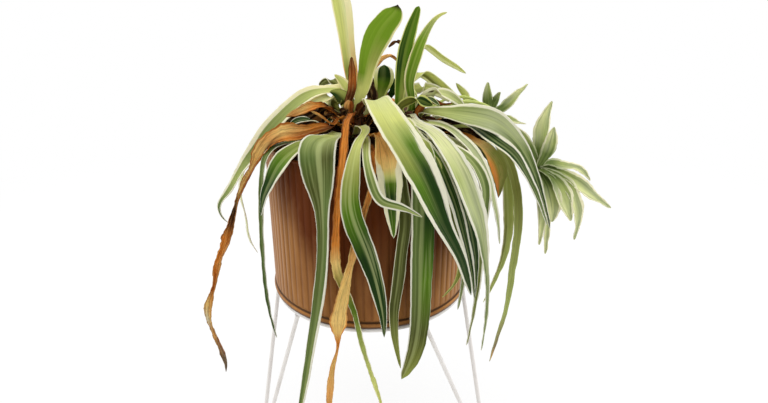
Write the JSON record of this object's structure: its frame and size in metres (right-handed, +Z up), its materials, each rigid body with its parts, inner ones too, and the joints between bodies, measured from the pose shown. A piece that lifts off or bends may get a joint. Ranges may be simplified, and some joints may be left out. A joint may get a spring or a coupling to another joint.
{
  "type": "wilting potted houseplant",
  "caption": "Wilting striped houseplant with drooping, dried and dead leaves in a ribbed metal pot on a wire stand with hairpin legs.",
  "frame": {"origin": "centre of the bounding box in plan, on the floor under the stand's feet; the pot's axis stands at x = -0.032, y = 0", "axes": "+Z up, the front that the long leaves hang over is -Y, the plantlets hang to the +X side"},
  "size_m": [0.3039, 0.2041, 0.3741],
  "materials": {
    "pot": "ribbed copper-brown metal, satin",
    "soil": "dark dry potting soil",
    "white_wire": "white powder coat, satin",
    "crown": "pale leaf bases",
    "green": "green with cream edges, wilted",
    "olive": "dull olive, wilted",
    "pale": "pale yellow-green",
    "dead": "dry, orange-brown to straw",
    "brown": "dry, brown"
  },
  "bodies": {
    "root": {"pot_wall": "pot", "pot_base": "pot", "soil": "soil", "stand_ring": "white_wire", "hairpin_leg_left": "white_wire", "hairpin_leg_right": "white_wire", "hairpin_leg_back": "white_wire", "crown_left": "crown", "crown_right": "crown", "leaf_front_left_broad": "green", "dead_strap_front": "dead", "leaf_front_centre": "green", "dead_leaf_front_knotted": "dead", "leaf_front_twisted": "green", "half_dead_leaf_front": "dead", "leaf_front_right_long": "green", "leaf_front_olive": "olive", "leaf_front_right_broad": "green", "yellowing_leaf_right_curled": "pale", "leaf_right_narrow": "green", "leaf_right_dark": "green", "leaf_right_thin": "green", "leaf_right_broad": "pale", "leaf_right_slender": "green", "leaf_right_low": "green", "leaf_right_arching_upper": "green", "leaf_right_arching_under": "green", "yellowed_leaf_right": "dead", "olive_leaf_right_hanging": "olive", "olive_leaf_right_long": "olive", "short_leaf_right_dark": "green", "dead_tipped_leaf_right": "dead", "leaf_left_long": "green", "dead_leaf_left_short": "dead", "short_leaf_left_dark": "green", "dead_strip_left": "dead", "dead_leaf_left_long": "dead", "leaf_left_curled": "green", "leaf_left_thin": "green", "leaf_left_pale_behind": "pale", "upright_leaf_pale": "pale", "upright_bract_brown": "brown", "upright_leaf_broad": "green", "upright_leaf_folded": "green", "upright_leaf_curling": "green", "short_leaf_dark": "green", "short_leaf_behind_left": "olive", "dead_leaf_behind": "brown", "leaf_behind_right_thin": "green", "leaf_behind_right_arching": "green", "leaf_behind_right_pale": "pale", "leaf_behind_right_tip": "olive", "leaf_back_left": "green", "leaf_back_centre": "green", "dead_leaf_back": "dead", "leaf_back_right": "green", "runner_right": "pale", "plantlet_right": "pale", "runner_behind": "pale", "plantlet_behind": "pale"}
  },
  "joints": []
}
